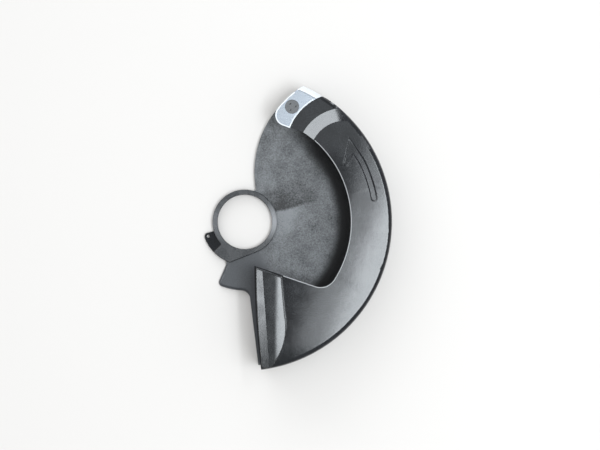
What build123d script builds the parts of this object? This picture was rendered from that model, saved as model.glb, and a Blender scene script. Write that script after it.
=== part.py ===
# Lower blade guard of a small cordless circular saw, lying on its back wall.
# Origin on the pivot axis at the back face, +Z towards the front wall, +X towards the rim.
import os
from math import atan2, cos, degrees, hypot, radians, sin, sqrt

from build123d import *

os.makedirs("parts", exist_ok=True)

# Channel section
rim_radius = 74.0  # outside of the rim wall, about the pivot
cover_width = 25.0  # back face to front face
rim_wall = 2.2
front_wall = 2.2
back_wall = 2.5
rim_round = 2.4  # outer corner between rim and front wall
heel_round = 1.5  # outer corner between rim and back wall
channel_round = 1.0  # inner corners of the channel

# Pivot ring and the arm that carries the hook tab
bore_radius = 14.0
ring_radius = 16.6
pad_height = 3.6  # raised face of the ring and arm
pad_edge_chamfer = 0.3
pad_corner_round = 1.0  # of its outline at the hook tab
pad_line_angle = -68.3  # where the straight edge of the pad leaves the ring
arm_radius = 22.3  # outside of the arm, about the pivot
arm_top_angle = -136.5  # where the pad steps down to the hook tab
arm_root_angle = -90.0  # inside the lug

# Spring hook tab
tab_side_angle = -163.6
tab_end_height = 1.9
tab_step_angle = -151.0
tab_end_radius = 1.85
hook_hole_radius = 0.8
hook_hole_distance = 20.3  # from the pivot
hook_hole_angle = -158.5

# Stop lug
lug_radius = 35.4
lug_side_angle = -113.7
lug_corner_round = 2.2
lug_neck_round = 1.6
lug_heel_round = 5.0
lug_edge_round = 1.6
lug_run_out = 14.0  # of the pillowed edge along the trailing edge

# Leading edge: one arc for the back wall, an inner one for the rim and front wall
lead_centre = (55.4, 25.8)
lead_radius = 50.5
lead_setback = 1.75  # clip's leading edge behind the back wall's
lead_start_angle = 118.0  # past the rim
lead_notch_round = 1.0

# Trailing edge of the back wall, a straight line
trail_top = (0.9, -25.0)
trail_end = (7.2, -76.0)

# Front wall outline
window_radius = 53.5
window_heel = (19.07, -26.2)  # a point on the straight lower side of the window
window_heel_angle = 161.4
window_heel_length = 14.0  # from that point to the trailing corner
window_corner_round = 8.0
window_tip_round = 10.0
front_trail_middle = (6.9, -49.0)
front_trail_end = (9.5, -76.0)

# Slope that lowers the front wall under the clip: a cone about its own axis
joggle_centre = (50.6, 32.7)
joggle_inner_radius = 17.0
joggle_outer_radius = 23.7
joggle_drop = 1.8
joggle_round = 3.0

# Shallow step in the front wall beside the lever
step_angle = -74.1
step_inner_angle = -90.0  # under the lever
step_inner_radius = 56.0
step_depth = 0.4

# Steel clip
clip_thickness = 1.2
clip_gap = 0.05  # between the skirt and the rim wall
clip_edge_gap = 0.2  # between the clip's back edge and the moulding
clip_overhang = 0.3  # clip past the moulding at its free edges
clip_back_centre = (48.84, 36.68)  # of the arc along the clip's back edge
clip_back_radius = 27.3
clip_back_start_angle = 95.0  # past the rim
clip_foot = (23.2, 46.5)  # a point on the clip's straight end
clip_foot_angle = 160.5
clip_corner_round = 6.0
clip_skirt_height = 8.0  # lower end of the skirt above the back face

# Stake that holds the clip
stake_centre = (24.4, 57.0)
stake_head_radius = 3.5
stake_neck_radius = 3.0
stake_gap = 0.06
stake_recess = 0.15  # stake below the face of the clip
dimple_radius = 0.45
dimple_depth = 0.4
dimple_distance = 1.75
dimple_angle = 4.0

# Thumb lever on the front wall
lever_height = 12.0
lever_left = [(7.1, -22.4), (7.8, -46.5), (9.9, -70.6)]
lever_right = [(19.2, -26.8), (20.9, -45.5), (20.7, -58.0), (13.6, -70.9)]
lever_tip_round = 1.7
lever_lean = 4.2  # of its ridge off the Y axis
facet_width = 3.0
facet_drop = 1.6
cheek_start = 15.8  # X where the flat crown turns down into the cheek
cheek_radius = 32.0
cheek_turn = 20.0  # of the cheek's arc, which ends past the lever's side
lever_wall = 2.2
lever_roof = 2.6
lever_head_wall = 4.0  # solid at its upper end
lever_tip_wall = 4.4
lever_core_round = 0.55
crown_depth = 2.8  # the edges of the crown lie within this of the lever's top
lever_edge_round = 0.4

beyond = 4.0  # how far cutting shapes reach past the part
near = 0.1  # how close an edge lies to the place that it is chosen by
far_radius = rim_radius + beyond
low_width = cover_width - joggle_drop  # front face under the clip
lever_top = cover_width + lever_height
clip_lead_radius = lead_radius - lead_setback
clip_floor = low_width - clip_thickness  # face that the clip lies on
slope_reach = 2 * joggle_outer_radius - joggle_inner_radius  # the cone goes on as far again
stake_flare = (stake_head_radius - stake_neck_radius) / clip_thickness
stake_height = clip_thickness - stake_recess


def polar(radius, angle, centre=(0, 0)):
    return (centre[0] + radius * cos(radians(angle)), centre[1] + radius * sin(radians(angle)))


def crossing(point, angle, centre, radius, side):
    """Where the line through a point meets a circle: side -1 is the first crossing along the angle."""
    step_x, step_y = polar(1, angle)
    off_x, off_y = point[0] - centre[0], point[1] - centre[1]
    middle = -(off_x * step_x + off_y * step_y)
    half = sqrt(radius**2 - off_x**2 - off_y**2 + middle**2)
    return (point[0] + (middle + side * half) * step_x, point[1] + (middle + side * half) * step_y)


def arc_about(centre, start, end):
    """Arc about a centre from one point to another, for arcs that don't cross the centre's -X side."""
    start_angle = degrees(atan2(start[1] - centre[1], start[0] - centre[0])) % 360
    end_angle = degrees(atan2(end[1] - centre[1], end[0] - centre[0])) % 360
    radius = hypot(start[0] - centre[0], start[1] - centre[1])
    return ThreePointArc(start, polar(radius, (start_angle + end_angle) / 2, centre), end)


def round_corner(sketch, corner, radius):
    fillet(sketch.vertices().sort_by_distance(corner)[0], radius=radius)


def disc_section(radius, floor, top, top_round, floor_round):
    """Half section of a disc about the pivot, with its two outer corners rounded."""
    with BuildSketch(Plane.XZ) as section:
        with BuildLine():
            Polyline((0, floor), (radius, floor), (radius, top), (0, top), close=True)
        make_face()
        round_corner(section, (radius, top), top_round)
        round_corner(section, (radius, floor), floor_round)
    return section.sketch


def raised_section(top):
    """Half section of the raised part of the front wall, about the joggle's axis."""
    with BuildSketch(Plane(origin=(*joggle_centre, 0), x_dir=(1, 0, 0), z_dir=(0, -1, 0))) as section:
        with BuildLine():
            Polyline(
                (0, -beyond),
                (slope_reach, -beyond),
                (slope_reach, top - 2 * joggle_drop),
                (joggle_inner_radius, top),
                (0, top),
                close=True,
            )
        make_face()
        round_corner(section, (joggle_inner_radius, top), joggle_round)
    return section.sketch


def stepped_disc(radius, floor, top, top_round, floor_round):
    """Disc about the pivot whose top is lowered by the joggle on the leading side of the joggle's axis."""
    with BuildPart() as raised_zone:
        add(raised_section(top))
        revolve(axis=Axis((*joggle_centre, 0), (0, 0, 1)))
        joggle_angle = degrees(atan2(joggle_centre[1], joggle_centre[0]))
        with BuildSketch(Plane.XY.offset(-beyond)):
            with BuildLine():
                Polyline(
                    polar(near, joggle_angle - 90),
                    polar(2 * far_radius, joggle_angle - 180),
                    polar(2 * far_radius, joggle_angle - 90),
                    polar(2 * far_radius, joggle_angle),
                    close=True,
                )
            make_face()
        extrude(amount=cover_width + 2 * beyond)
    with BuildPart() as raised:
        add(disc_section(radius, floor, top, top_round, floor_round))
        revolve(axis=Axis.Z)
        add(raised_zone.part, mode=Mode.INTERSECT)
    with BuildPart() as disc:
        add(disc_section(radius, floor, top - joggle_drop, top_round, floor_round))
        revolve(axis=Axis.Z)
        add(raised_zone.part, mode=Mode.SUBTRACT)
        add(raised.part)
    return disc.part


outer_form = stepped_disc(rim_radius, 0, cover_width, rim_round, heel_round)
channel_form = stepped_disc(
    rim_radius - rim_wall, back_wall, cover_width - front_wall, channel_round, channel_round
)

trail_angle = degrees(atan2(trail_end[1] - trail_top[1], trail_end[0] - trail_top[0]))
lug_heel = crossing(trail_top, trail_angle, (0, 0), lug_radius, 1)
hook_hole_centre = polar(hook_hole_distance, hook_hole_angle)

# Back wall: the leading arc is drawn to its point nearest the pivot, inside the ring
with BuildPart() as web:
    with BuildSketch() as web_outline:
        lead_end_angle = degrees(atan2(-lead_centre[1], -lead_centre[0])) % 360
        lead_start = polar(lead_radius, lead_start_angle, lead_centre)
        with BuildLine():
            CenterArc(lead_centre, lead_radius, lead_start_angle, lead_end_angle - lead_start_angle)
            Polyline(polar(lead_radius, lead_end_angle, lead_centre), (0, 0), trail_top, trail_end)
            ThreePointArc(trail_end, (far_radius, 0), lead_start)
        make_face()
        Circle(ring_radius)
        round_corner(web_outline, (0, ring_radius), lead_notch_round)
    extrude(amount=back_wall)

# Stop lug with a pillowed edge, which runs out along the trailing edge
with BuildPart() as lug:
    with BuildSketch() as lug_outline:
        lug_corner = polar(lug_radius, lug_side_angle)
        lug_end = polar(lug_run_out, trail_angle, lug_heel)
        with BuildLine():
            Line(polar(ring_radius, lug_side_angle), lug_corner)
            arc_about((0, 0), lug_corner, lug_heel)
            Polyline(
                lug_heel,
                lug_end,
                (lug_end[0] + back_wall, lug_end[1]),
                (lug_heel[0] + lug_run_out, -ring_radius),
                polar(ring_radius, lug_side_angle),
            )
        make_face()
        round_corner(lug_outline, lug_corner, lug_corner_round)
        round_corner(lug_outline, lug_heel, lug_heel_round)
    extrude(amount=back_wall)
    lug_arc_middle = polar(lug_radius, (lug_side_angle + trail_angle) / 2)
    fillet(lug.edges().sort_by_distance((*lug_arc_middle, back_wall))[0], radius=lug_edge_round)

# Arm and hook tab, with a rounded neck towards the lug
with BuildPart() as arm:
    with BuildSketch() as arm_outline:
        neck_radius = arm_radius + lug_neck_round + near
        with BuildLine():
            Line((0, 0), polar(arm_radius, hook_hole_angle))
            CenterArc((0, 0), arm_radius, hook_hole_angle, arm_root_angle - hook_hole_angle)
            Line(polar(arm_radius, arm_root_angle), (0, 0))
        make_face()
        with BuildLine():
            Line((0, 0), polar(neck_radius, lug_side_angle))
            CenterArc((0, 0), neck_radius, lug_side_angle, arm_root_angle - lug_side_angle)
            Line(polar(neck_radius, arm_root_angle), (0, 0))
        make_face()
        with BuildLine():
            Polyline((0, 0), polar(hook_hole_distance, tab_side_angle), hook_hole_centre, close=True)
        make_face()
        with Locations(hook_hole_centre):
            Circle(tab_end_radius)
        round_corner(arm_outline, polar(arm_radius, lug_side_angle), lug_neck_round)
    extrude(amount=back_wall)

# Plan of the rim and front wall, from past the rim round to the window
with BuildPart() as front_prism:
    with BuildSketch(Plane.XY.offset(back_wall)) as front_outline:
        tip = polar(clip_lead_radius - clip_overhang, lead_start_angle, lead_centre)
        tip_foot = polar(clip_overhang, clip_foot_angle - 90, clip_foot)
        tip_corner = crossing(tip_foot, clip_foot_angle, lead_centre, clip_lead_radius - clip_overhang, 1)
        window_start = crossing(tip_foot, clip_foot_angle, (0, 0), window_radius, -1)
        window_end = crossing(window_heel, window_heel_angle, (0, 0), window_radius, -1)
        trail_corner = polar(window_heel_length, window_heel_angle, window_heel)
        with BuildLine():
            arc_about(lead_centre, tip, tip_corner)
            Line(tip_corner, window_start)
            ThreePointArc(window_start, polar(window_radius, 0), window_end)
            Line(window_end, trail_corner)
            ThreePointArc(trail_corner, front_trail_middle, front_trail_end)
            ThreePointArc(front_trail_end, (far_radius, 0), tip)
        make_face()
        round_corner(front_outline, tip_corner, clip_corner_round - clip_overhang)
        round_corner(front_outline, window_start, window_tip_round)
        round_corner(front_outline, window_end, window_corner_round)
    extrude(amount=cover_width)

# Plan of the steel clip
with BuildSketch() as clip_outline:
    clip_tip = polar(clip_lead_radius, lead_start_angle, lead_centre)
    clip_corner = crossing(clip_foot, clip_foot_angle, lead_centre, clip_lead_radius, 1)
    back_foot = crossing(clip_foot, clip_foot_angle, clip_back_centre, clip_back_radius, 1)
    back_top = polar(clip_back_radius, clip_back_start_angle, clip_back_centre)
    with BuildLine():
        arc_about(lead_centre, clip_tip, clip_corner)
        Line(clip_corner, back_foot)
        arc_about(clip_back_centre, back_foot, back_top)
        Line(back_top, clip_tip)
    make_face()
    clip_end_length = hypot(clip_corner[0] - back_foot[0], clip_corner[1] - back_foot[1])
    round_corner(clip_outline, clip_corner, min(clip_corner_round, clip_end_length / 2))

with BuildPart() as steel_clip:
    with BuildSketch(Plane.XY.offset(clip_skirt_height)):
        add(clip_outline.sketch)
    extrude(amount=cover_width)
    add(disc_section(rim_radius, -beyond, low_width, rim_round + clip_thickness, channel_round))
    revolve(axis=Axis.Z, mode=Mode.INTERSECT)
    add(disc_section(rim_radius - clip_thickness, -beyond, clip_floor, rim_round, channel_round))
    revolve(axis=Axis.Z, mode=Mode.SUBTRACT)
    with Locations((*stake_centre, clip_floor)):
        Cone(
            stake_neck_radius,
            stake_head_radius,
            clip_thickness,
            align=(Align.CENTER, Align.CENTER, Align.MIN),
            mode=Mode.SUBTRACT,
        )
steel_clip.part.label = "steel_clip"
export_step(steel_clip.part, "parts/steel_clip.step")

# Raised face of the ring and arm, one outline so that its edge is unbroken
with BuildPart() as pad:
    with BuildSketch() as pad_outline:
        pad_line_start = polar(ring_radius, pad_line_angle)
        pad_line_end = crossing(pad_line_start, pad_line_angle - 90, (0, 0), arm_radius, 1)
        with BuildLine():
            CenterArc((0, 0), ring_radius, pad_line_angle, 360 + arm_top_angle - pad_line_angle)
            Line(polar(ring_radius, arm_top_angle), polar(arm_radius, arm_top_angle))
            arc_about((0, 0), polar(arm_radius, arm_top_angle), pad_line_end)
            Line(pad_line_end, pad_line_start)
        make_face()
        round_corner(pad_outline, polar(ring_radius, arm_top_angle), pad_corner_round)
        round_corner(pad_outline, polar(arm_radius, arm_top_angle), pad_corner_round)
        Circle(bore_radius, mode=Mode.SUBTRACT)
    extrude(amount=pad_height)
    chamfer(pad.edges().group_by(Axis.Z)[-1], length=pad_edge_chamfer)

# Thumb lever: its outline, then the crown that shapes its top
with BuildPart() as lever:
    with BuildSketch(Plane.XY.offset(cover_width - front_wall / 2)) as lever_outline:
        with BuildLine():
            ThreePointArc(*lever_left)
            Line(lever_left[-1], lever_right[-1])
            ThreePointArc(lever_right[3], lever_right[2], lever_right[1])
            Line(lever_right[1], lever_right[0])
            Line(lever_right[0], lever_left[0])
        make_face()
        round_corner(lever_outline, lever_left[-1], lever_tip_round)
        round_corner(lever_outline, lever_right[-1], lever_tip_round)
    extrude(amount=lever_height + front_wall)
    lever_across = polar(1, lever_lean)
    lever_along = polar(1, lever_lean - 90)
    with BuildSketch(Plane(origin=(*lever_left[0], 0), x_dir=(*lever_across, 0), z_dir=(*lever_along, 0))):
        with BuildLine():
            Polyline(
                (facet_width, lever_top),
                (rim_radius, lever_top),
                (rim_radius, 0),
                (-facet_width, 0),
                (-facet_width, lever_top - 2 * facet_drop),
                close=True,
            )
        make_face()
    extrude(amount=rim_radius, both=True, mode=Mode.INTERSECT)
    with BuildSketch(Plane.XZ):
        cheek_centre = (cheek_start, lever_top - cheek_radius)
        cheek_end = polar(cheek_radius, 90 - cheek_turn, cheek_centre)
        with BuildLine():
            arc_about(cheek_centre, cheek_end, (cheek_start, lever_top))
            Polyline((cheek_start, lever_top), (0, lever_top), (0, 0), (cheek_end[0], 0), cheek_end)
        make_face()
    extrude(amount=rim_radius, both=True, mode=Mode.INTERSECT)
    crown_edges = lever.edges().filter_by(lambda e: (e @ 0.5).Z > lever_top - crown_depth)
    fillet(crown_edges, radius=lever_edge_round)

# Hollow under the lever, open to the channel
with BuildPart() as lever_hollow:
    with BuildSketch(Plane.XY.offset(cover_width - 2 * front_wall)) as hollow_outline:
        (left_x, left_y), (middle_x, middle_y), (tip_x, tip_y) = lever_left
        inner_side = [(x - lever_wall, y) for x, y in lever_right[2:0:-1]]
        with BuildLine():
            Polyline(
                (left_x + lever_wall, left_y - lever_head_wall),
                (middle_x + lever_wall, middle_y),
                (tip_x + lever_wall, tip_y + lever_tip_wall),
                (lever_right[3][0], lever_right[3][1] + lever_tip_wall),
                *inner_side,
                (lever_right[0][0] - lever_wall, lever_right[0][1] - lever_head_wall),
                close=True,
            )
        make_face()
        fillet(hollow_outline.vertices(), radius=lever_core_round)
    extrude(amount=lever_height - lever_roof + 2 * front_wall)

# Bed for the clip in the rim and front wall
with BuildPart() as clip_bed:
    with BuildSketch(Plane.XY.offset(clip_skirt_height - clip_edge_gap)):
        add(clip_outline.sketch)
        offset(amount=clip_edge_gap, mode=Mode.REPLACE)
    extrude(amount=cover_width)
    bed_radius = rim_radius - clip_thickness - clip_gap
    add(disc_section(bed_radius, -beyond, clip_floor, rim_round, channel_round))
    revolve(axis=Axis.Z, mode=Mode.SUBTRACT)

with BuildPart() as shell:
    add(outer_form)
    add(front_prism.part, mode=Mode.INTERSECT)
    add(channel_form, mode=Mode.SUBTRACT)
    with BuildSketch(Plane.XY.offset(cover_width - step_depth)):
        step_outer_radius = rim_radius - rim_round
        step_corner = polar(step_outer_radius, step_angle)
        hidden_corner = polar(step_outer_radius, step_inner_angle)
        with BuildLine():
            arc_about((0, 0), step_corner, hidden_corner)
            Polyline(
                hidden_corner,
                polar(step_inner_radius, step_inner_angle),
                polar(step_inner_radius, step_angle),
                step_corner,
            )
        make_face()
    extrude(amount=beyond, mode=Mode.SUBTRACT)

with BuildPart() as guard_moulding:
    add(web.part)
    add(lug.part)
    add(arm.part)
    add(disc_section(rim_radius, 0, cover_width, rim_round, heel_round))
    revolve(axis=Axis.Z, mode=Mode.INTERSECT)
    add(shell.part)
    add(lever.part)
    add(lever_hollow.part, mode=Mode.SUBTRACT)
    add(pad.part)
    add(clip_bed.part, mode=Mode.SUBTRACT)
    with Locations((*stake_centre, clip_floor)):
        Cone(
            stake_neck_radius - stake_gap,
            stake_neck_radius - stake_gap + stake_flare * stake_height,
            stake_height,
            align=(Align.CENTER, Align.CENTER, Align.MIN),
        )
    with Locations((*stake_centre, low_width - stake_recess)):
        with PolarLocations(dimple_distance, 3, start_angle=dimple_angle):
            Cylinder(dimple_radius, 2 * dimple_depth, mode=Mode.SUBTRACT)
    with BuildSketch(Plane.XY.offset(tab_end_height)):
        with BuildLine():
            Line(polar(ring_radius, tab_step_angle), polar(arm_radius + beyond, tab_step_angle))
            arc_about((0, 0), polar(arm_radius + beyond, tab_step_angle), polar(arm_radius + beyond, -180))
            Line(polar(arm_radius + beyond, -180), polar(ring_radius, -180))
            arc_about((0, 0), polar(ring_radius, -180), polar(ring_radius, tab_step_angle))
        make_face()
    extrude(amount=back_wall, mode=Mode.SUBTRACT)
    Cylinder(bore_radius, 2 * cover_width, mode=Mode.SUBTRACT)
    with Locations(hook_hole_centre):
        Cylinder(hook_hole_radius, 2 * cover_width, mode=Mode.SUBTRACT)

guard_moulding.part.label = "guard_moulding"
export_step(guard_moulding.part, "parts/guard_moulding.step")
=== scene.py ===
import math

import bmesh
import bpy
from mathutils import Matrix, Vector


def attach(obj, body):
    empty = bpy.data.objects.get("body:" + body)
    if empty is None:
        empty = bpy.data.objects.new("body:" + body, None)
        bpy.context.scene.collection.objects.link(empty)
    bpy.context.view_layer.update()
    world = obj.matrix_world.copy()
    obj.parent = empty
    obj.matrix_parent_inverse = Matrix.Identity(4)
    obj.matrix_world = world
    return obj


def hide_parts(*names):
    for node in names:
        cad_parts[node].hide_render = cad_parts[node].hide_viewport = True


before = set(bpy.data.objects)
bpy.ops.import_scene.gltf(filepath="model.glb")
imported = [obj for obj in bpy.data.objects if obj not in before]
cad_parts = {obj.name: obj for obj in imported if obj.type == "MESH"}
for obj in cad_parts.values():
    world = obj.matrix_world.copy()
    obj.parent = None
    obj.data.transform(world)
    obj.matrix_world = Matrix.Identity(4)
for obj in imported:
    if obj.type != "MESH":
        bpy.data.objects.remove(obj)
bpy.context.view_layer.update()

mm = 0.001


def toLinear(hexColour):
    # sRGB hex to the linear values that the shaders take
    values = [int(hexColour[i:i + 2], 16) / 255 for i in (0, 2, 4)]
    return [v / 12.92 if v <= 0.04045 else ((v + 0.055) / 1.055) ** 2.4 for v in values] + [1.0]


def addNode(tree, kind, settings=None, links=None):
    # settings go to the node's own properties, or to its sockets by name or number
    node = tree.nodes.new(kind)
    for key, value in (settings or {}).items():
        if isinstance(key, int) or key in node.inputs:
            node.inputs[key].default_value = value
        else:
            setattr(node, key, value)
    for key, source in (links or {}).items():
        tree.links.new(source, node.inputs[key])
    return node


def perMetre(sizeInMm):
    # texture scale for features of a real size
    return 1 / (sizeInMm * mm)


def newMaterial(name):
    material = bpy.data.materials.new(name)
    material.use_nodes = True
    tree = material.node_tree
    tree.nodes.clear()
    place = addNode(tree, "ShaderNodeTexCoord").outputs["Object"]
    return material, tree, place


def finishMaterial(tree, shader):
    addNode(tree, "ShaderNodeOutputMaterial", links={"Surface": shader.outputs["BSDF"]})


mouldedNylon = {
    "colour": "0b0c0d",  # carbon black in glass-filled nylon, a touch grey
    "colourWorn": "27292c",
    "roughness": 0.065,
    "roughnessCloudy": 0.115,
    "ior": 1.55,
    "cloud": 11,  # mm, flow marks of the melt
    "cloudRange": (0.35, 0.7),  # part of the noise that the sheen follows
    "grain": 0.5,  # mm, drawn coarser than the real 0.2 mm so that it shows
    "grainDepth": 0.0022,  # mm
    "flowDepth": 0.022,  # mm, how far the cloudy patches stand up
    "speckle": 1.6,  # how strongly the grain shows in the colour
}


def mouldedNylonSatin():
    # PA66 with glass fibre, moulded against a stoned steel face: satin, reflects large lights as soft patches
    look = mouldedNylon
    material, tree, place = newMaterial("glassFilledNylonSatin")
    cloud = addNode(tree, "ShaderNodeTexNoise",
                    {"Scale": perMetre(look["cloud"]), "Detail": 6.0, "Roughness": 0.66}, {"Vector": place})
    grain = addNode(tree, "ShaderNodeTexNoise", {"Scale": perMetre(look["grain"]), "Detail": 2.0},
                    {"Vector": place})
    speckle = addNode(tree, "ShaderNodeMath",
                      {"operation": "MULTIPLY_ADD", 1: look["speckle"], 2: -look["speckle"] / 2},
                      {0: grain.outputs["Fac"]})
    skin = addNode(tree, "ShaderNodeMath", {"operation": "ADD", "use_clamp": True},
                   {0: cloud.outputs["Fac"], 1: speckle.outputs["Value"]})
    colour = addNode(tree, "ShaderNodeMix",
                     {"data_type": "RGBA", "A": toLinear(look["colour"]), "B": toLinear(look["colourWorn"])},
                     {"Factor": skin.outputs["Value"]})
    sheen = addNode(tree, "ShaderNodeMapRange",
                    {"From Min": look["cloudRange"][0], "From Max": look["cloudRange"][1],
                     "To Min": look["roughness"], "To Max": look["roughnessCloudy"]},
                    {"Value": cloud.outputs["Fac"]})
    flow = addNode(tree, "ShaderNodeBump", {"Strength": 1.0, "Distance": look["flowDepth"] * mm},
                   {"Height": cloud.outputs["Fac"]})
    relief = addNode(tree, "ShaderNodeBump", {"Strength": 1.0, "Distance": look["grainDepth"] * mm},
                     {"Height": grain.outputs["Fac"], "Normal": flow.outputs["Normal"]})
    shader = addNode(tree, "ShaderNodeBsdfPrincipled", {"IOR": look["ior"]},
                     {"Base Color": colour.outputs["Result"], "Roughness": sheen.outputs["Result"],
                      "Normal": relief.outputs["Normal"]})
    finishMaterial(tree, shader)
    return material


sparkErodedNylon = {
    "colour": "191a1b",
    "colourPale": "6a6d70",
    "roughness": 0.51,
    "roughnessPale": 0.35,
    "gloss": 0.5,
    "ior": 1.55,
    "grain": 0.75,  # mm, drawn coarser than the real 0.3 mm pits so that they show
    "grainFine": 0.42,  # mm
    "mottle": 7,  # mm
    "grainDepth": 0.2,  # mm
    "pitShare": 0.5,  # depth of the pits against that of the grain
    "speckle": 1.8,  # how strongly the grain shows in the colour
    "shadeLineStart": (17.0, 5.4),  # mm, where the line of painted shade and light starts behind the ring
    "shadeLineTurn": 14,  # degrees, the way that it ran
    "shadeLineReach": 26,  # mm along it
    "shadeLineWander": 3,  # mm, how far the line strays
    "paintedLightWidth": 15,  # mm, width of the side painted lighter
    "paintedShadeWidth": 13,  # mm, width of the side painted darker as shade
    "shadeLineSoft": 0.8,  # mm, half the width of the line itself
    "shadeLineStrength": 0.6,
    "paintedShadeStart": (44.5, 50.5),  # mm from the pivot, where painted shade darkens the channel's floor and dulls its sheen
    "paintedShadeSide": (20.0, 38.0),  # mm, only on this side of the wall
    # colour and gloss of the painted shade on the channel's floor
    "paintedShadeColour": "121213",
    "paintedShadeGloss": 0.2,
    "lugX": (7.0, 15.0),  # mm, between these the blasted steel of the lug takes over
    "lugY": (-18.0, -12.0),
    "lugColour": "37393d",
    "lugGrain": 0.1,  # share of the grain that is left there
}


def sparkErodedNylonTexture():
    # the same nylon against a spark-eroded steel face: even fine pits that spread every highlight
    look = sparkErodedNylon
    material, tree, place = newMaterial("glassFilledNylonSparkEroded")
    grain = addNode(tree, "ShaderNodeTexNoise",
                    {"Scale": perMetre(look["grain"]), "Detail": 4.0, "Roughness": 0.7}, {"Vector": place})
    pits = addNode(tree, "ShaderNodeTexVoronoi", {"Scale": perMetre(look["grainFine"])}, {"Vector": place})
    mottle = addNode(tree, "ShaderNodeTexNoise", {"Scale": perMetre(look["mottle"]), "Detail": 3.0},
                     {"Vector": place})
    height = addNode(tree, "ShaderNodeMath", {"operation": "MULTIPLY_ADD", 1: look["pitShare"]},
                     {0: pits.outputs["Distance"], 2: grain.outputs["Fac"]})
    # painted shade and light: along a line behind the ring, one side is painted darker as shade and the other
    # lighter
    start = Vector((*look["shadeLineStart"], 0)) * mm
    turned = addNode(tree, "ShaderNodeVectorRotate",
                     {"rotation_type": "Z_AXIS", "Center": start, "Angle": -math.radians(look["shadeLineTurn"])},
                     {"Vector": place})
    apart = addNode(tree, "ShaderNodeSeparateXYZ", links={"Vector": turned.outputs["Vector"]})
    wander = addNode(tree, "ShaderNodeMath",
                     {"operation": "MULTIPLY_ADD", 1: look["shadeLineWander"] * mm,
                      2: -look["shadeLineWander"] / 2 * mm - start.y},
                     {0: mottle.outputs["Fac"]})
    across = addNode(tree, "ShaderNodeMath", {"operation": "ADD"},
                     {0: apart.outputs["Y"], 1: wander.outputs["Value"]})
    along = addNode(tree, "ShaderNodeMapRange",
                    {"From Min": start.x, "From Max": start.x + look["shadeLineReach"] * mm,
                     "To Min": 1.0, "To Max": 0.0, "interpolation_type": "SMOOTHSTEP"},
                    {"Value": apart.outputs["X"]})
    pale = addNode(tree, "ShaderNodeMapRange", {"From Min": -look["paintedLightWidth"] * mm, "From Max": 0.0},
                   {"Value": across.outputs["Value"]})
    dark = addNode(tree, "ShaderNodeMapRange",
                   {"From Min": -look["shadeLineSoft"] * mm, "From Max": look["shadeLineSoft"] * mm,
                    "To Min": 1.0, "To Max": -1.0},
                   {"Value": across.outputs["Value"]})
    fade = addNode(tree, "ShaderNodeMapRange",
                   {"From Min": 0.0, "From Max": look["paintedShadeWidth"] * mm, "To Min": 1.0, "To Max": 0.0},
                   {"Value": across.outputs["Value"]})
    sides = addNode(tree, "ShaderNodeMath", {"operation": "MULTIPLY"},
                    {0: pale.outputs["Result"], 1: fade.outputs["Result"]})
    paintedShadeAndLight = addNode(tree, "ShaderNodeMath", {"operation": "MULTIPLY"},
                     {0: sides.outputs["Value"], 1: dark.outputs["Result"]})
    # weld holds this painted shade and light, not a real weld line
    weld = addNode(tree, "ShaderNodeMath", {"operation": "MULTIPLY"},
                   {0: paintedShadeAndLight.outputs["Value"], 1: along.outputs["Result"]})
    speckle = addNode(tree, "ShaderNodeMath",
                      {"operation": "MULTIPLY_ADD", 1: look["speckle"], 2: -look["speckle"] / 2},
                      {0: grain.outputs["Fac"]})
    skin = addNode(tree, "ShaderNodeMath", {"operation": "ADD"},
                   {0: mottle.outputs["Fac"], 1: speckle.outputs["Value"]})
    tone = addNode(tree, "ShaderNodeMath",
                   {"operation": "MULTIPLY_ADD", 1: look["shadeLineStrength"], "use_clamp": True},
                   {0: weld.outputs["Value"], 2: skin.outputs["Value"]})
    colour = addNode(tree, "ShaderNodeMix",
                     {"data_type": "RGBA", "A": toLinear(look["colour"]), "B": toLinear(look["colourPale"])},
                     {"Factor": tone.outputs["Value"]})
    sheen = addNode(tree, "ShaderNodeMapRange",
                    {"From Min": 0.0, "From Max": 1.0, "To Min": look["roughness"], "To Max": look["roughnessPale"]},
                    {"Value": tone.outputs["Value"]})
    # painted shade under the front wall: the channel's floor is drawn darker and with less sheen
    plan = addNode(tree, "ShaderNodeMapping", {"Scale": (1.0, 1.0, 0.0)}, {"Vector": place})
    reach = addNode(tree, "ShaderNodeVectorMath", {"operation": "LENGTH"}, {0: plan.outputs["Vector"]})
    parts = addNode(tree, "ShaderNodeSeparateXYZ", links={"Vector": place})
    under = addNode(tree, "ShaderNodeMapRange",
                    {"From Min": look["paintedShadeStart"][0] * mm, "From Max": look["paintedShadeStart"][1] * mm,
                     "interpolation_type": "SMOOTHSTEP"},
                    {"Value": reach.outputs["Value"]})
    side = addNode(tree, "ShaderNodeMapRange",
                   {"From Min": look["paintedShadeSide"][0] * mm, "From Max": look["paintedShadeSide"][1] * mm,
                    "interpolation_type": "SMOOTHSTEP"},
                   {"Value": parts.outputs["X"]})
    paintedShade = addNode(tree, "ShaderNodeMath", {"operation": "MULTIPLY"},
                   {0: under.outputs["Result"], 1: side.outputs["Result"]})
    gloss = addNode(tree, "ShaderNodeMapRange",
                    {"From Min": 0.0, "From Max": 1.0, "To Min": look["gloss"], "To Max": look["paintedShadeGloss"]},
                    {"Value": paintedShade.outputs["Value"]})
    withPaintedShade = addNode(tree, "ShaderNodeMix", {"data_type": "RGBA", "B": toLinear(look["paintedShadeColour"])},
                    {"Factor": paintedShade.outputs["Value"], "A": colour.outputs["Result"]})
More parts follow.
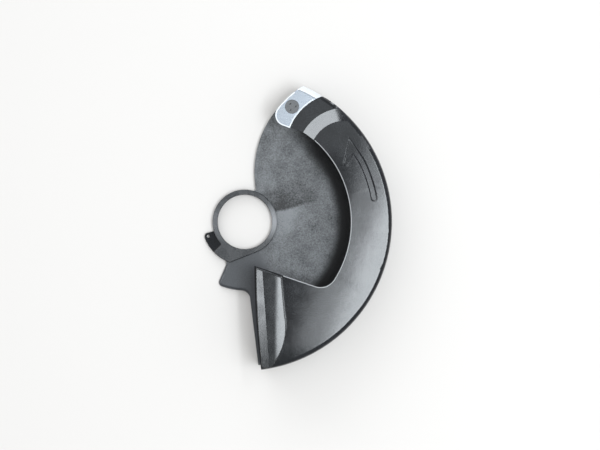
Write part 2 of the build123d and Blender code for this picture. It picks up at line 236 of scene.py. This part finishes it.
    # the mould's two finishes run into each other before the lug
    besideLug = addNode(tree, "ShaderNodeMapRange",
                        {"From Min": look["lugX"][0] * mm, "From Max": look["lugX"][1] * mm,
                         "To Min": 1.0, "To Max": 0.0, "interpolation_type": "SMOOTHSTEP"},
                        {"Value": parts.outputs["X"]})
    belowRing = addNode(tree, "ShaderNodeMapRange",
                        {"From Min": look["lugY"][0] * mm, "From Max": look["lugY"][1] * mm,
                         "To Min": 1.0, "To Max": 0.0, "interpolation_type": "SMOOTHSTEP"},
                        {"Value": parts.outputs["Y"]})
    toLug = addNode(tree, "ShaderNodeMath", {"operation": "MULTIPLY"},
                    {0: besideLug.outputs["Result"], 1: belowRing.outputs["Result"]})
    calm = addNode(tree, "ShaderNodeMapRange",
                   {"From Min": 0.0, "From Max": 1.0, "To Min": 1.0, "To Max": look["lugGrain"]},
                   {"Value": toLug.outputs["Value"]})
    blended = addNode(tree, "ShaderNodeMix", {"data_type": "RGBA", "B": toLinear(look["lugColour"])},
                      {"Factor": toLug.outputs["Value"], "A": withPaintedShade.outputs["Result"]})
    relief = addNode(tree, "ShaderNodeBump", {"Distance": look["grainDepth"] * mm},
                     {"Height": height.outputs["Value"], "Strength": calm.outputs["Result"]})
    shader = addNode(tree, "ShaderNodeBsdfPrincipled", {"IOR": look["ior"]},
                     {"Base Color": blended.outputs["Result"], "Roughness": sheen.outputs["Result"],
                      "Specular IOR Level": gloss.outputs["Result"], "Normal": relief.outputs["Normal"]})
    finishMaterial(tree, shader)
    return material


patchRange = (0.35, 0.65)  # part of the noise that the sheen follows
grainRange = (0.3, 0.7)  # part of the noise that the colour follows


def nylonMatt(name, look):
    # nylon whose skin has been rubbed or pressed dull: cloudy patches over a fine grain
    material, tree, place = newMaterial(name)
    patch = addNode(tree, "ShaderNodeTexNoise", {"Scale": perMetre(look["patch"]), "Detail": 4.0},
                    {"Vector": place})
    grain = addNode(tree, "ShaderNodeTexNoise", {"Scale": perMetre(look["grain"]), "Detail": 3.0},
                    {"Vector": place})
    sheen = addNode(tree, "ShaderNodeMapRange",
                    {"From Min": patchRange[0], "From Max": patchRange[1],
                     "To Min": look["roughness"], "To Max": look["roughnessWorn"]},
                    {"Value": patch.outputs["Fac"]})
    relief = addNode(tree, "ShaderNodeBump", {"Strength": 1.0, "Distance": look["grainDepth"] * mm},
                     {"Height": grain.outputs["Fac"]})
    speckle = addNode(tree, "ShaderNodeMapRange", {"From Min": grainRange[0], "From Max": grainRange[1]},
                      {"Value": grain.outputs["Fac"]})
    colour = addNode(tree, "ShaderNodeMix",
                     {"data_type": "RGBA", "A": toLinear(look["colour"]), "B": toLinear(look["colourPale"])},
                     {"Factor": speckle.outputs["Result"]})
    shader = addNode(tree, "ShaderNodeBsdfPrincipled", {"IOR": look["ior"]},
                     {"Base Color": colour.outputs["Result"], "Roughness": sheen.outputs["Result"],
                      "Normal": relief.outputs["Normal"]})
    finishMaterial(tree, shader)
    return material, tree, place, colour, shader


paleSidedNylon = {
    "colour": "222325",
    "colourPale": "3e4042",
    "colourWorn": "7e8083",
    "paleReach": 12,  # mm above and below the pivot
    "paleSides": (-15, 15),  # mm, from the side that is least pale to the one that is palest
    "paleLeast": 0.3,
    "roughness": 0.33,
    "roughnessWorn": 0.22,
    "ior": 1.55,
    "patch": 5,  # mm
    "grain": 0.6,  # mm
    "grainDepth": 0.03,  # mm
}


def mouldedNylonPaleSided():
    # the ring's face: paler on the two sides level with the pivot, most of all on the one towards the rim
    look = paleSidedNylon
    material, tree, place, colour, shader = nylonMatt("glassFilledNylonPaleSided", look)
    parts = addNode(tree, "ShaderNodeSeparateXYZ", links={"Vector": place})
    off = addNode(tree, "ShaderNodeMath", {"operation": "ABSOLUTE"}, {0: parts.outputs["Y"]})
    near = addNode(tree, "ShaderNodeMapRange",
                   {"From Min": 0.0, "From Max": look["paleReach"] * mm, "To Min": 1.0, "To Max": 0.0,
                    "interpolation_type": "SMOOTHSTEP"},
                   {"Value": off.outputs["Value"]})
    side = addNode(tree, "ShaderNodeMapRange",
                   {"From Min": look["paleSides"][0] * mm, "From Max": look["paleSides"][1] * mm,
                    "To Min": look["paleLeast"], "To Max": 1.0},
                   {"Value": parts.outputs["X"]})
    paleShare = addNode(tree, "ShaderNodeMath", {"operation": "MULTIPLY"},
                   {0: near.outputs["Result"], 1: side.outputs["Result"]})
    paleSided = addNode(tree, "ShaderNodeMix", {"data_type": "RGBA", "B": toLinear(look["colourWorn"])},
                     {"Factor": paleShare.outputs["Value"], "A": colour.outputs["Result"]})
    tree.links.new(paleSided.outputs["Result"], shader.inputs["Base Color"])
    return material


blastedNylon = {
    "colour": "303236",
    "colourPale": "3c3f43",
    "roughness": 0.42,
    "roughnessWorn": 0.36,
    "ior": 1.55,
    "patch": 12,  # mm
    "grain": 0.6,  # mm
    "grainDepth": 0.02,  # mm
}


def mouldedNylonBlasted():
    # the stop lug, moulded against bead-blasted steel: soft even sheen
    return nylonMatt("glassFilledNylonBlasted", blastedNylon)[0]


touchedNylon = {
    "colour": "121314",
    "colourPale": "26282a",
    "roughness": 0.18,
    "roughnessWorn": 0.13,
    "ior": 1.55,
    "patch": 5,  # mm
    "grain": 0.5,  # mm
    "grainDepth": 0.004,  # mm
}


def mouldedNylonTouched():
    # the thumb lever: handling has dulled the satin skin, so its highlights have soft borders
    return nylonMatt("glassFilledNylonTouched", touchedNylon)[0]


paintedHighlightNylon = {
    "colour": "8a8c8e",  # pale grey, the colour of the painted highlight
    "colourPale": "a2a4a6",
    "roughness": 0.5,
    "roughnessWorn": 0.35,
    "ior": 1.55,
    "patch": 6,  # mm
    "grain": 0.5,  # mm
    "grainDepth": 0.03,  # mm
}


def paintedHighlightEdge():
    # the window's edge: a thin pale line, a painted highlight
    return nylonMatt("glassFilledNylonPaintedHighlight", paintedHighlightNylon)[0]


pressedNylon = {
    "colour": "404244",  # stretched by the punch, so a shade paler
    "colourPale": "5a5c5e",
    "roughness": 0.5,
    "roughnessWorn": 0.4,
    "ior": 1.55,
    "patch": 1.6,  # mm
    "grain": 0.5,  # mm
    "grainDepth": 0.05,  # mm
}


def stakedNylon():
    # the stake's head, spread cold by a punch: dull and a little paler than the skin round it
    return nylonMatt("glassFilledNylonStaked", pressedNylon)[0]


rolledSteel = {
    "colour": "c9d0d8",
    "colourDull": "b4bcc6",
    "roughness": 0.19,
    "line": 0.4,  # mm, rolling lines drawn coarser than the real 0.05 mm so that they show
    "lineDepth": 0.0006,  # mm
    "lineAngle": 62,  # degrees, along the clip
    "lineStretch": 0.06,  # width of a line against its length
}


def rolledSteelBright():
    # cold-rolled bright steel strip: fine rolling lines that pull the highlight out sideways
    look = rolledSteel
    material, tree, place = newMaterial("coldRolledSteelBright")
    along = addNode(tree, "ShaderNodeMapping",
                    {"Rotation": (0, 0, -math.radians(look["lineAngle"])), "Scale": (look["lineStretch"], 1.0, 1.0)},
                    {"Vector": place})
    lines = addNode(tree, "ShaderNodeTexNoise", {"Scale": perMetre(look["line"]), "Detail": 3.0},
                    {"Vector": along.outputs["Vector"]})
    colour = addNode(tree, "ShaderNodeMix",
                     {"data_type": "RGBA", "A": toLinear(look["colourDull"]), "B": toLinear(look["colour"])},
                     {"Factor": lines.outputs["Fac"]})
    relief = addNode(tree, "ShaderNodeBump", {"Strength": 1.0, "Distance": look["lineDepth"] * mm},
                     {"Height": lines.outputs["Fac"]})
    shader = addNode(tree, "ShaderNodeBsdfPrincipled", {"Metallic": 1.0, "Roughness": look["roughness"]},
                     {"Base Color": colour.outputs["Result"], "Normal": relief.outputs["Normal"]})
    finishMaterial(tree, shader)
    return material


shearedSteel = {
    "colour": "f2f4f6",
    "roughness": 0.85,
    "line": 0.3,  # mm, drawn coarser than the real 0.1 mm so that it shows
    "lineDepth": 0.003,  # mm
}


def rolledSteelSheared():
    # the clip's tumbled edges and stretched bend: rough, so they catch every light and look white
    look = shearedSteel
    material, tree, place = newMaterial("coldRolledSteelSheared")
    lines = addNode(tree, "ShaderNodeTexNoise", {"Scale": perMetre(look["line"]), "Detail": 2.0},
                    {"Vector": place})
    relief = addNode(tree, "ShaderNodeBump", {"Strength": 1.0, "Distance": look["lineDepth"] * mm},
                     {"Height": lines.outputs["Fac"]})
    shader = addNode(tree, "ShaderNodeBsdfPrincipled",
                     {"Metallic": 1.0, "Roughness": look["roughness"], "Base Color": toLinear(look["colour"])},
                     {"Normal": relief.outputs["Normal"]})
    finishMaterial(tree, shader)
    return material


mesher = {
    "weld": 0.002,  # mm, vertices closer than this are one
    "flat": 0.03,  # degrees, faces within this of each other are one
    "smooth": 50,  # degrees, sharper edges keep a crease
}


def bareCopy(node, name):
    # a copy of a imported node's mesh as one closed skin, with its flat faces whole again
    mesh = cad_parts[node].data.copy()
    mesh.materials.clear()
    piece = bpy.data.objects.new(name, mesh)
    bpy.context.scene.collection.objects.link(piece)
    skin = bmesh.new()
    skin.from_mesh(mesh)
    bmesh.ops.remove_doubles(skin, verts=skin.verts, dist=mesher["weld"] * mm)
    bmesh.ops.dissolve_degenerate(skin, edges=skin.edges, dist=mesher["weld"] * mm)
    bmesh.ops.dissolve_limit(skin, angle_limit=math.radians(mesher["flat"]), verts=skin.verts, edges=skin.edges)
    skin.to_mesh(mesh)
    skin.free()
    return piece


def applyModifiers(piece):
    made = bpy.data.meshes.new_from_object(piece.evaluated_get(bpy.context.evaluated_depsgraph_get()))
    piece.modifiers.clear()
    piece.data = made


def roundEdges(piece, width, segments, sharpAngle, edgeSlot):
    # the small rounds of every sharp edge, and normals that keep the flat faces flat
    bevel = piece.modifiers.new("edges", "BEVEL")
    bevel.material = edgeSlot
    bevel.limit_method = "ANGLE"
    bevel.angle_limit = math.radians(sharpAngle)
    bevel.width = width * mm
    bevel.segments = segments
    applyModifiers(piece)
    for polygon in piece.data.polygons:
        polygon.use_smooth = True
    piece.data.set_sharp_from_angle(angle=math.radians(mesher["smooth"]))
    weighted = piece.modifiers.new("normals", "WEIGHTED_NORMAL")
    weighted.keep_sharp = True
    applyModifiers(piece)


arrow = {
    "tip": (52.8, 41.1),  # mm from the pivot
    "outerRadius": 67.3,  # of the shaft's outer side about the pivot
    "innerRadius": 64.6,
    "startAngle": 27.5,  # degrees, where the shaft leaves its straight head
    "endAngle": 10.2,
    "notch": (54.5, 33.9),
    "barbCentre": (51.2, 28.8),
    "barbRadius": 1.2,
    "face": 25.0,
    # mm past the outline and below the face, from above the face to the floor of the recess
    "profile": [(0.45, -0.5), (0.45, 0.0), (0.27, 0.05), (0.12, 0.16),
                (-0.02, 0.32), (-0.17, 0.43), (-0.4, 0.48)],
    "shaftSteps": 14,
    "endSteps": 9,
    "barbSteps": 8,
    "shortestMitre": 0.55,
}


def onUnitCircle(angle):
    return Vector((math.cos(angle), math.sin(angle)))


def arrowOutline():
    # one-sided rotation arrow: bent shaft with a round end, and one barb
    start, end = math.radians(arrow["startAngle"]), math.radians(arrow["endAngle"])
    middle = (arrow["outerRadius"] + arrow["innerRadius"]) / 2
    half = (arrow["outerRadius"] - arrow["innerRadius"]) / 2
    shares = [i / arrow["shaftSteps"] for i in range(arrow["shaftSteps"] + 1)]
    points = [Vector(arrow["tip"])]
    points += [onUnitCircle(start + (end - start) * share) * arrow["outerRadius"] for share in shares]
    for i in range(1, arrow["endSteps"]):
        turn = end - math.pi * i / arrow["endSteps"]
        points.append(onUnitCircle(end) * middle + onUnitCircle(turn) * half)
    points += [onUnitCircle(end + (start - end) * share) * arrow["innerRadius"] for share in shares]
    points.append(Vector(arrow["notch"]))
    barb = Vector(arrow["barbCentre"])
    toTip = (Vector(arrow["tip"]) - barb).normalized()
    side = Vector((toTip.y, -toTip.x))
    for i in range(arrow["barbSteps"] + 1):
        turn = math.pi * i / arrow["barbSteps"]
        points.append(barb + (side * math.cos(turn) - toTip * math.sin(turn)) * arrow["barbRadius"])
    return points


def grownOutline(points, distance):
    # the outline pushed out by a distance, with its corners mitred and the longest mitres kept short
    grown = []
    for before, point, after in zip(points[-1:] + points[:-1], points, points[1:] + points[:1]):
        into, out = (point - before).normalized(), (after - point).normalized()
        sideIn, sideOut = Vector((-into.y, into.x)), Vector((-out.y, out.x))
        mitre = (sideIn + sideOut).normalized()
        grown.append(point + mitre * distance / max(mitre.dot(sideIn), arrow["shortestMitre"]))
    return grown


def cutArrow(piece):
    # a recess with rounded shoulders, so that its sides show as lines
    outline = arrowOutline()
    mesh = bpy.data.meshes.new("arrowCutter")
    cutter = bpy.data.objects.new("arrowCutter", mesh)
    bpy.context.scene.collection.objects.link(cutter)
    block = bmesh.new()
    rings = []
    for shift, depth in arrow["profile"]:
        ring = grownOutline(outline, shift)
        rings.append([block.verts.new((p.x * mm, p.y * mm, (arrow["face"] - depth) * mm)) for p in ring])
    for upper, lower in zip(rings, rings[1:]):
        for i in range(len(upper)):
            block.faces.new((upper[i - 1], upper[i], lower[i], lower[i - 1]))
    block.faces.new(rings[0])
    block.faces.new(rings[-1])
    bmesh.ops.recalc_face_normals(block, faces=block.faces)
    block.to_mesh(mesh)
    block.free()
    cut = piece.modifiers.new("arrow", "BOOLEAN")
    cut.object = cutter
    cut.operation = "DIFFERENCE"
    cut.solver = "EXACT"
    applyModifiers(piece)
    bpy.data.objects.remove(cutter)


windowEdge = {
    "face": 25.0,  # mm, height of the front wall's face
    "near": 0.01,
    "radius": 53.9,  # every edge of the front face within this of the pivot bounds the window
    "leverSide": 20.2,  # the round ends short of the lever
    "round": 0.4,
    "segments": 3,
    "turn": 60,  # degrees, least turn of an edge that is rounded
    "cutDepth": 3.5,  # mm, only faces this near to the front face are cut where the round ends
    "cutRadius": 62,
    "snap": 0.001,  # the cut goes through corners that lie this near to it
}


def onWindowEdge(edge):
    w = windowEdge
    ends = [vertex.co / mm for vertex in edge.verts]
    return all(abs(end.z - w["face"]) < w["near"] and end.xy.length < w["radius"]
               and end.x > w["leverSide"] - w["near"] for end in ends)


def roundWindowEdge(piece, slot):
    # a larger round along the window, with a finish of its own that paints a highlight on it
    w = windowEdge
    skin = bmesh.new()
    skin.from_mesh(piece.data)
    crossing = [f for f in skin.faces if abs(f.calc_center_median().z / mm - w["face"]) < w["cutDepth"]
                and f.calc_center_median().xy.length < w["cutRadius"] * mm
                and min(v.co.x for v in f.verts) < w["leverSide"] * mm < max(v.co.x for v in f.verts)]
    # dict.fromkeys drops doubles and keeps the order, so that every run gives the same mesh
    around = dict.fromkeys(crossing + [edge for f in crossing for edge in f.edges]
                           + [vertex for f in crossing for vertex in f.verts])
    bmesh.ops.bisect_plane(skin, geom=list(around), dist=w["snap"] * mm,
                           plane_co=(w["leverSide"] * mm, 0, 0), plane_no=(1, 0, 0))
    chosen = [edge for edge in skin.edges if edge.is_manifold
              and edge.calc_face_angle_signed() > math.radians(w["turn"]) and onWindowEdge(edge)]
    bmesh.ops.bevel(skin, geom=chosen, offset=w["round"] * mm, offset_type="OFFSET", segments=w["segments"],
                    profile=0.5, affect="EDGES", material=slot, clamp_overlap=True)
    skin.to_mesh(piece.data)
    skin.free()
    return len(chosen)


slope = {
    "centre": (50.6, 32.7),  # mm, axis of the cone
    "flatRadius": 16.604,  # mm, where the round at its upper border begins
    "round": 3.0,
    "tilt": 15.04,  # degrees
    "outerRadius": 23.7,
    "near": 0.05,
    "heights": (23.19, 25.01),  # mm, of the lowered face and of the front wall's face
    "reach": 60,  # mm from the axis, beyond which no face belongs to the slope
    "levelNormal": 0.99999,  # upward part of a level face's normal
    "steepNormal": 0.9,  # the slope's own normals point up more than this
    "facing": 0.97,  # and away from the axis more than this
}


def trueSlopeNormals(piece):
    # the cone that lowers the front wall gets its own normals, so that the highlight on it has clean borders
    mesh = piece.data
    normals = [corner.vector.copy() for corner in mesh.corner_normals]
    centre = Vector(slope["centre"])
    steepest = math.sin(math.radians(slope["tilt"]))
    lowest, highest = slope["heights"]
    for polygon in mesh.polygons:
        middle = polygon.center / mm
        away = middle.xy - centre
        level = polygon.normal.z > slope["levelNormal"]
        onSlope = (slope["steepNormal"] < polygon.normal.z < slope["levelNormal"]
                   and away.length < slope["outerRadius"] + slope["near"])
        if not lowest < middle.z < highest or away.length > slope["reach"] or not (level or onSlope):
            continue
        if onSlope and polygon.normal.xy.normalized().dot(away.normalized()) < slope["facing"]:
            continue
        for loop in polygon.loop_indices:
            out = mesh.vertices[mesh.loops[loop].vertex_index].co.xy / mm - centre
            lean = min(max((out.length - slope["flatRadius"]) / slope["round"], 0), steepest)
            flat = out.normalized() * (0 if level else lean)
            normals[loop] = Vector((flat.x, flat.y, math.sqrt(1 - flat.length_squared)))
    mesh.normals_split_custom_set(normals)


moulding = {
    "edge": 0.22,  # mm, round on the tool's parting and shut-off edges
    "segments": 2,
    "sharpAngle": 32,  # degrees
    "near": 0.05,  # mm
    "upNormal": 0.9,
    "wallTop": 2.5,  # mm, inner face of the back wall
    "wallLip": 2.6,
    "wallRadius": 17,  # the back wall's texture begins outside the ring
    "wallSide": 1,
    "padTop": 3.6,
    "padRadius": 16.8,
    "padRound": 0.4,
    "stakeCentre": (24.4, 57.0),
    "stakeRadius": 3.6,
    "stakeRim": 3.2,
    "stakeFoot": 22,
    "stakeTop": 23.0,
    "lugSide": 7.0,  # the stop lug lies on the trailing side of this, and below lugTop
    "lugTop": -18.0,
    "leverFoot": 25.1,
}

finishes = {
    "satin": mouldedNylonSatin,
    "sparkEroded": sparkErodedNylonTexture,
    "paleSided": mouldedNylonPaleSided,
    "staked": stakedNylon,
    "paintedHighlight": paintedHighlightEdge,
    "blasted": mouldedNylonBlasted,
    "touched": mouldedNylonTouched,
}
slotOf = {name: number for number, name in enumerate(finishes)}


def finishAt(polygon):
    # which of the finishes a face of the moulding has
    m = moulding
    centre = polygon.center / mm
    reach = centre.xy.length
    # the window's edge keeps its painted highlight
    if polygon.material_index == slotOf["paintedHighlight"]:
        return "paintedHighlight"
    if centre.z > m["leverFoot"]:
        return "touched"
    fromStake = (centre.xy - Vector(m["stakeCentre"])).length
    if fromStake < m["stakeRadius"] and centre.z > m["stakeFoot"]:
        # the punch marks and the rim of the head keep the dark satin: painted shade in these hollows
        return "staked" if fromStake < m["stakeRim"] and centre.z > m["stakeTop"] else "satin"
    if abs(centre.z - m["padTop"]) < m["padRound"] and reach < m["padRadius"]:
        return "paleSided"
    if abs(centre.z - m["padTop"]) < m["near"] and polygon.normal.z > m["upNormal"]:
        return "paleSided"
    if centre.z < m["wallLip"] and centre.x < m["lugSide"] and centre.y < m["lugTop"]:
        return "blasted"
    onWall = abs(centre.z - m["wallTop"]) < m["near"] and polygon.normal.z > m["upNormal"]
    if onWall and reach > m["wallRadius"] and centre.x > m["wallSide"]:
        return "sparkEroded"
    return "satin"


def buildMoulding():
    piece = bareCopy("guard_moulding", "moulding")
    cutArrow(piece)
    piece.data.materials.clear()
    for makeMaterial in finishes.values():
        piece.data.materials.append(makeMaterial())
    print("window edge", roundWindowEdge(piece, slotOf["paintedHighlight"]), "edges")
    roundEdges(piece, moulding["edge"], moulding["segments"], moulding["sharpAngle"], slotOf["satin"])
    trueSlopeNormals(piece)
    for polygon in piece.data.polygons:
        polygon.material_index = slotOf[finishAt(polygon)]
    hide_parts("guard_moulding")
    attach(piece, "root")
    return piece


clip = {
    "edge": 0.2,  # mm
    "segments": 2,
    "sharpAngle": 40,  # degrees
    "near": 0.01,  # mm
    "levelNormal": 0.9999,
    "sideNormal": 0.9,
    "flat": 0.1,  # degrees, border pieces within this of each other are one
    "face": 23.2,  # mm, height of the clip's face
    "faceEdge": 0.6,  # mm, coined border along the outline of the face, up to the bend
    "faceDrop": 0.1,
    "bendStart": 69.6,
    "holeRim": 4.2,
    "bend": (0.12, 0.985),  # upward part of the normal, from the skirt to the face
    "bright": 0,  # slots
    "sheared": 1,
}


def coinOutline(piece):
    # a narrow sloped border round the clip's face, off the stake's hole
    skin = bmesh.new()
    skin.from_mesh(piece.data)
    face = [f for f in skin.faces if f.normal.z > clip["levelNormal"]
            and abs(f.calc_center_median().z / mm - clip["face"]) < clip["near"]]
    border = bmesh.ops.inset_region(skin, faces=face, thickness=clip["faceEdge"] * mm, use_boundary=True,
                                    use_even_offset=True)["faces"]
    stake = Vector(moulding["stakeCentre"])
    for f in border:
        centre = f.calc_center_median().xy / mm
        free = (centre - stake).length > clip["holeRim"] and centre.length < clip["bendStart"]
        f.material_index = clip["sheared"] if free else clip["bright"]
    outer = {v for f in border if f.material_index == clip["sheared"] for e in f.edges
             if any(g.normal.z < clip["sideNormal"] for g in e.link_faces) for v in e.verts}
    for v in outer:
        v.co.z -= clip["faceDrop"] * mm
    plain = [f for f in border if f.material_index == clip["bright"]]
    bmesh.ops.dissolve_limit(skin, angle_limit=math.radians(clip["flat"]),
                             verts=list(dict.fromkeys(v for f in plain for v in f.verts)),
                             edges=list(dict.fromkeys(e for f in plain for e in f.edges)), delimit={"MATERIAL"})
    skin.to_mesh(piece.data)
    skin.free()
    return len(border)


def buildClip():
    piece = bareCopy("steel_clip", "clip")
    piece.data.materials.clear()
    piece.data.materials.append(rolledSteelBright())
    piece.data.materials.append(rolledSteelSheared())
    print("clip outline", coinOutline(piece), "faces")
    roundEdges(piece, clip["edge"], clip["segments"], clip["sharpAngle"], clip["sheared"])
    for polygon in piece.data.polygons:
        outward = polygon.normal.xy.dot(polygon.center.xy) > 0
        if (polygon.center.xy / mm - Vector(moulding["stakeCentre"])).length < clip["holeRim"]:
            polygon.material_index = clip["bright"]
        elif clip["bend"][0] < polygon.normal.z < clip["bend"][1] and outward:
            polygon.material_index = clip["sheared"]
    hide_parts("steel_clip")
    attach(piece, "root")
    return piece


print("moulding", len(buildMoulding().data.polygons), "faces")
print("clip", len(buildClip().data.polygons), "faces")

studio = {
    "cameraHeight": 0.560,  # metres above the floor
    "cameraOver": (0.02835, -0.0016),
    "viewWidth": 0.310,  # of the floor, across the picture
    "sensor": 36.0,
    "worldColour": "f4f5f6",
    "worldSheen": 0.27,  # the room as highlights show it
    "worldShade": 0.95,  # the room as it fills the shadows
}

paper = {
    "colour": "c8c5c2",  # a little warm, against the cool lights
    "roughness": 0.9,
    "size": 4.0,  # metres
    "cells": 8,
    "drop": 0.02,  # mm, just below the part's back face
    "fibre": 3.0,  # mm, clouds of fibre
    "fibreStrength": 0.2,
    "fibreDepth": 0.01,  # mm
}


def paperMatt():
    # uncoated paper: no sheen, a trace of fibre
    material, tree, place = newMaterial("paperMatt")
    fibre = addNode(tree, "ShaderNodeTexNoise", {"Scale": perMetre(paper["fibre"]), "Detail": 3.0},
                    {"Vector": place})
    relief = addNode(tree, "ShaderNodeBump",
                     {"Strength": paper["fibreStrength"], "Distance": paper["fibreDepth"] * mm},
                     {"Height": fibre.outputs["Fac"]})
    shader = addNode(tree, "ShaderNodeBsdfPrincipled",
                     {"Base Color": toLinear(paper["colour"]), "Roughness": paper["roughness"]},
                     {"Normal": relief.outputs["Normal"]})
    finishMaterial(tree, shader)
    return material


def buildFloor():
    mesh = bpy.data.meshes.new("floor")
    sheet = bmesh.new()
    bmesh.ops.create_grid(sheet, x_segments=paper["cells"], y_segments=paper["cells"], size=paper["size"] / 2)
    sheet.to_mesh(mesh)
    sheet.free()
    floor = bpy.data.objects.new("floor", mesh)
    floor.location = (*studio["cameraOver"], -paper["drop"] * mm)
    bpy.context.scene.collection.objects.link(floor)
    mesh.materials.append(paperMatt())


lights = {
    # places are metres from the camera's axis and above the floor, radiance against a pale wall's 1
    "panelFront": {"place": (0.299, -0.089, 1.0), "size": (0.43, 0.37), "turn": -21,
                   "radiance": 11.5, "colour": "f3faff"},
    "panelVeil": {"place": (0.078, -0.003, 1.0), "size": (0.045, 0.37), "turn": -21,
                  "radiance": 3.5, "colour": "f3faff"},
    "fillNorth": {"place": (-0.03, 0.26, 1.02), "size": (0.46, 0.32), "turn": 0,
                  "radiance": 0.7, "colour": "f3faff"},
    "stripNorthWest": {"place": (-0.934, 0.183, 1.0), "size": (0.22, 2.11), "turn": 122,
                       "radiance": 10.3, "colour": "f4faff", "sheenOnly": True},
    "cardNorth": {"place": (-0.60, 1.70, 0.8), "size": (2.4, 1.2), "aimed": True,
                  "radiance": 2.2, "colour": "f6fbff"},
    "keyEast": {"place": (0.297, 0.0, 1.01), "size": (0.062, 0.90), "turn": 0,
                "radiance": 21.0, "colour": "f6fbff", "shadeOnly": True},
}


def buildLight(name):
    # flat soft box that the camera itself doesn't see: most look straight down, an aimed one looks at the part.
    # sheenOnly shows in highlights alone, shadeOnly lights what is matt and leaves the highlights alone
    plan = lights[name]
    width, length = plan["size"]
    lamp = bpy.data.lights.new(name, "AREA")
    lamp.shape = "RECTANGLE"
    lamp.size, lamp.size_y = width, length
    lamp.energy = plan["radiance"] * math.pi * width * length
    lamp.color = toLinear(plan["colour"])[:3]
    holder = bpy.data.objects.new(name, lamp)
    middle = Vector((*studio["cameraOver"], 0))
    holder.location = middle + Vector(plan["place"])
    if plan.get("aimed"):
        holder.rotation_euler = (middle - holder.location).to_track_quat("-Z", "Y").to_euler()
    else:
        holder.rotation_euler = (0, 0, math.radians(plan["turn"]))
    holder.visible_camera = False
    holder.visible_diffuse = not plan.get("sheenOnly", False)
    holder.visible_glossy = not plan.get("shadeOnly", False)
    bpy.context.scene.collection.objects.link(holder)


def buildWorld():
    # plain pale to the camera, darker in highlights than in shadows, as a room with black drapes looks
    world = bpy.data.worlds.new("studio")
    bpy.context.scene.world = world
    world.use_nodes = True
    world.cycles.sampling_method = "NONE"
    tree = world.node_tree
    tree.nodes.clear()
    path = addNode(tree, "ShaderNodeLightPath")
    drapes = addNode(tree, "ShaderNodeMix",
                     {"data_type": "FLOAT", "A": studio["worldSheen"], "B": studio["worldShade"]},
                     {"Factor": path.outputs["Is Diffuse Ray"]})
    pale = addNode(tree, "ShaderNodeMix", {"data_type": "FLOAT", "B": 1.0},
                   {"Factor": path.outputs["Is Camera Ray"], "A": drapes.outputs["Result"]})
    room = addNode(tree, "ShaderNodeBackground", {"Color": toLinear(studio["worldColour"])},
                   {"Strength": pale.outputs["Result"]})
    addNode(tree, "ShaderNodeOutputWorld", links={"Surface": room.outputs["Background"]})


def buildCamera():
    camera = bpy.data.cameras.new("camera")
    camera.sensor_width = studio["sensor"]
    camera.lens = studio["sensor"] * studio["cameraHeight"] / studio["viewWidth"]
    holder = bpy.data.objects.new("camera", camera)
    holder.location = (*studio["cameraOver"], studio["cameraHeight"])
    bpy.context.scene.collection.objects.link(holder)
    bpy.context.scene.camera = holder


buildFloor()
for name in lights:
    buildLight(name)
buildWorld()
buildCamera()
bpy.context.scene.view_settings.view_transform = "Standard"
print("studio")
